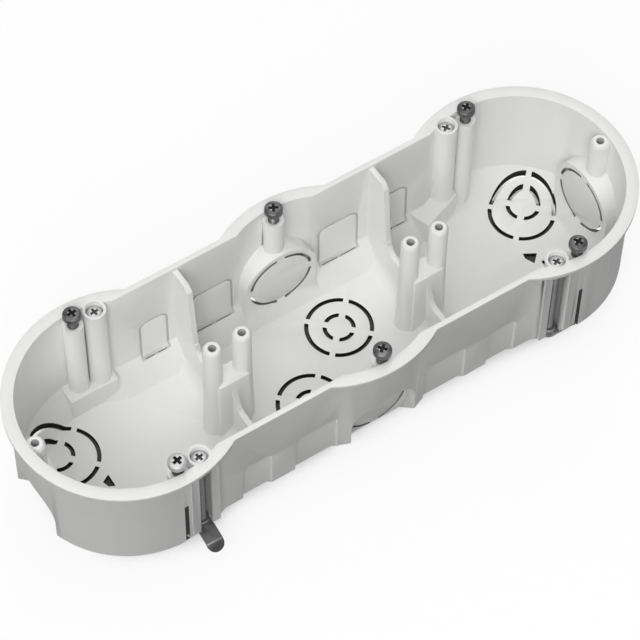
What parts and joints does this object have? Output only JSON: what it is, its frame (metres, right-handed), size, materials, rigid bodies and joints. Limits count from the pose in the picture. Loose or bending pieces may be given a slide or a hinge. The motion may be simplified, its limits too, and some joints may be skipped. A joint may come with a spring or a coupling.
{
  "type": "drywall back box",
  "caption": "Ganged back box for hollow plasterboard walls, with round openings, knockout cable entries, device screws and swing-out clamp claws.",
  "frame": {"origin": "middle of the flat underside of the moulding", "axes": "+X along the row of gangs, +Z out of the open side, +Y completes a right-handed frame"},
  "size_m": [0.2148, 0.0769, 0.0518],
  "materials": {
    "housing": "fine satin moulded plastic, light neutral grey",
    "device_screw_steel": "dark passivated steel",
    "clamp_screw_steel": "zinc-plated steel, greyed",
    "claw_steel": "pressed dark steel"
  },
  "bodies": {
    "box": {"box_body": "housing"},
    "device_screw_near_left": {"device_screw_near_left": "device_screw_steel"},
    "device_screw_near_middle": {"device_screw_near_middle": "device_screw_steel"},
    "device_screw_near_right": {"device_screw_near_right": "device_screw_steel"},
    "device_screw_far_left": {"device_screw_far_left": "device_screw_steel"},
    "device_screw_far_middle": {"device_screw_far_middle": "device_screw_steel"},
    "device_screw_far_right": {"device_screw_far_right": "device_screw_steel"},
    "clamp_screw_near_left": {"clamp_screw_near_left": "clamp_screw_steel"},
    "clamp_screw_near_right": {"clamp_screw_near_right": "clamp_screw_steel"},
    "clamp_screw_far_left": {"clamp_screw_far_left": "clamp_screw_steel"},
    "clamp_screw_far_right": {"clamp_screw_far_right": "clamp_screw_steel"},
    "claw_near_left": {"claw_near_left": "claw_steel"},
    "claw_near_right": {"claw_near_right": "claw_steel"},
    "claw_far_left": {"claw_far_left": "claw_steel"},
    "claw_far_right": {"claw_far_right": "claw_steel"}
  },
  "joints": [
    {"name": "device_screw_turn_near_left", "type": "hinge", "parent": "box", "child": "device_screw_near_left", "pos_m": [-0.071, -0.03, 0.05], "axis": [0, 0, 1], "continuous": true},
    {"name": "device_screw_turn_near_middle", "type": "hinge", "parent": "box", "child": "device_screw_near_middle", "pos_m": [0, -0.03, 0.05], "axis": [0, 0, 1], "continuous": true},
    {"name": "device_screw_turn_near_right", "type": "hinge", "parent": "box", "child": "device_screw_near_right", "pos_m": [0.071, -0.03, 0.05], "axis": [0, 0, 1], "continuous": true},
    {"name": "device_screw_turn_far_left", "type": "hinge", "parent": "box", "child": "device_screw_far_left", "pos_m": [-0.071, 0.03, 0.05], "axis": [0, 0, 1], "continuous": true},
    {"name": "device_screw_turn_far_middle", "type": "hinge", "parent": "box", "child": "device_screw_far_middle", "pos_m": [0, 0.03, 0.05], "axis": [0, 0, 1], "continuous": true},
    {"name": "device_screw_turn_far_right", "type": "hinge", "parent": "box", "child": "device_screw_far_right", "pos_m": [0.071, 0.03, 0.05], "axis": [0, 0, 1], "continuous": true},
    {"name": "clamp_screw_turn_near_left", "type": "hinge", "parent": "box", "child": "clamp_screw_near_left", "pos_m": [-0.0636, -0.02979, 0.045], "axis": [0, 0, 1], "continuous": true},
    {"name": "clamp_screw_turn_near_right", "type": "hinge", "parent": "box", "child": "clamp_screw_near_right", "pos_m": [0.0636, -0.02979, 0.045], "axis": [0, 0, 1], "continuous": true},
    {"name": "clamp_screw_turn_far_left", "type": "hinge", "parent": "box", "child": "clamp_screw_far_left", "pos_m": [-0.0636, 0.02979, 0.045], "axis": [0, 0, 1], "continuous": true},
    {"name": "clamp_screw_turn_far_right", "type": "hinge", "parent": "box", "child": "clamp_screw_far_right", "pos_m": [0.0636, 0.02979, 0.045], "axis": [0, 0, 1], "continuous": true},
    {"name": "claw_swing_near_left", "type": "hinge", "parent": "box", "child": "claw_near_left", "pos_m": [-0.0636, -0.02979, 0.009], "axis": [0, 0, 1], "range_deg": [-1.5, 113.5]},
    {"name": "claw_swing_near_right", "type": "hinge", "parent": "box", "child": "claw_near_right", "pos_m": [0.0636, -0.02979, 0.009], "axis": [0, 0, 1], "range_deg": [-95, 0]},
    {"name": "claw_swing_far_left", "type": "hinge", "parent": "box", "child": "claw_far_left", "pos_m": [-0.0636, 0.02979, 0.009], "axis": [0, 0, 1], "range_deg": [-95, 0]},
    {"name": "claw_swing_far_right", "type": "hinge", "parent": "box", "child": "claw_far_right", "pos_m": [0.0636, 0.02979, 0.009], "axis": [0, 0, 1], "range_deg": [-115, 0]}
  ]
}
